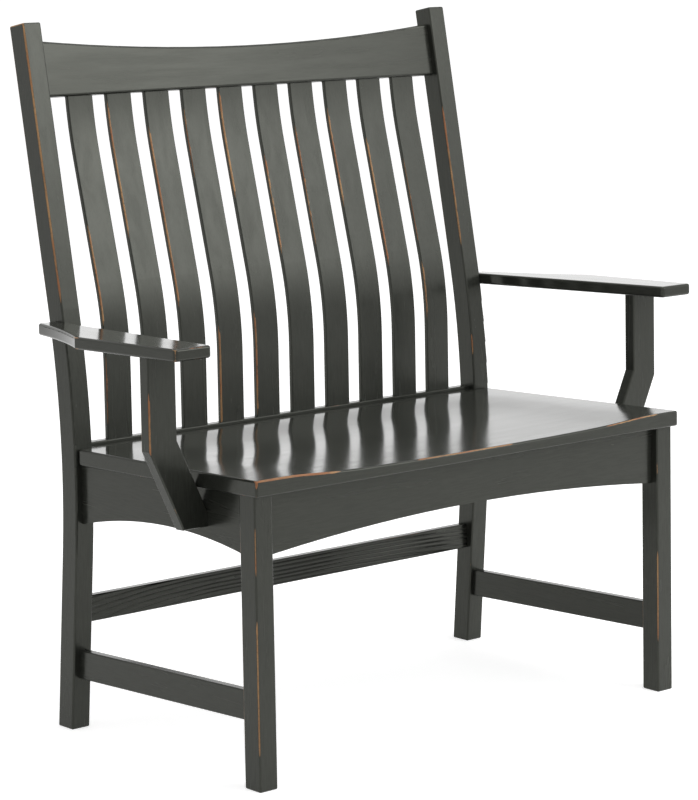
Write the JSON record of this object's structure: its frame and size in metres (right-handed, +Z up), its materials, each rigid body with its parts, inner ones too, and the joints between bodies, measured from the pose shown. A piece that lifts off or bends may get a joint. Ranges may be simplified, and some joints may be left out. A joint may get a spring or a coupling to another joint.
{
  "type": "settle",
  "caption": "Painted wooden settle with a dished board seat, bent back slats under a hollow-topped crest rail, arched aprons, and flat arms on cranked supports.",
  "frame": {"origin": "bottom centre of the bounding box, on the floor", "axes": "+X across the settle, to the right as seen from the front; +Y from front to back, so the front faces -Y; +Z up"},
  "size_m": [1.116, 0.6022, 1.0978],
  "materials": {
    "painted_wood": "dark grey semi-gloss paint, worn through on some edges",
    "bare_wood": "bare hardwood",
    "screw_steel": "zinc plated"
  },
  "bodies": {
    "root": {"arm_dowels": "bare_wood", "arm_left": "painted_wood", "arm_right": "painted_wood", "arm_support_left": "painted_wood", "arm_support_right": "painted_wood", "arm_support_screws": "screw_steel", "back_post_left": "painted_wood", "back_post_right": "painted_wood", "back_slat_01": "painted_wood", "back_slat_02": "painted_wood", "back_slat_03": "painted_wood", "back_slat_04": "painted_wood", "back_slat_05": "painted_wood", "back_slat_06": "painted_wood", "back_slat_07": "painted_wood", "back_slat_08": "painted_wood", "back_slat_09": "painted_wood", "back_slat_10": "painted_wood", "corner_block_front_left": "painted_wood", "corner_block_front_right": "painted_wood", "corner_block_rear_left": "painted_wood", "corner_block_rear_right": "painted_wood", "corner_block_screws": "screw_steel", "crest_rail": "painted_wood", "front_apron": "painted_wood", "front_leg_left": "painted_wood", "front_leg_right": "painted_wood", "rear_seat_rail": "painted_wood", "rear_stretcher": "painted_wood", "seat": "painted_wood", "seat_screws": "screw_steel", "side_apron_left": "painted_wood", "side_apron_right": "painted_wood", "side_stretcher_left": "painted_wood", "side_stretcher_right": "painted_wood"}
  },
  "joints": []
}
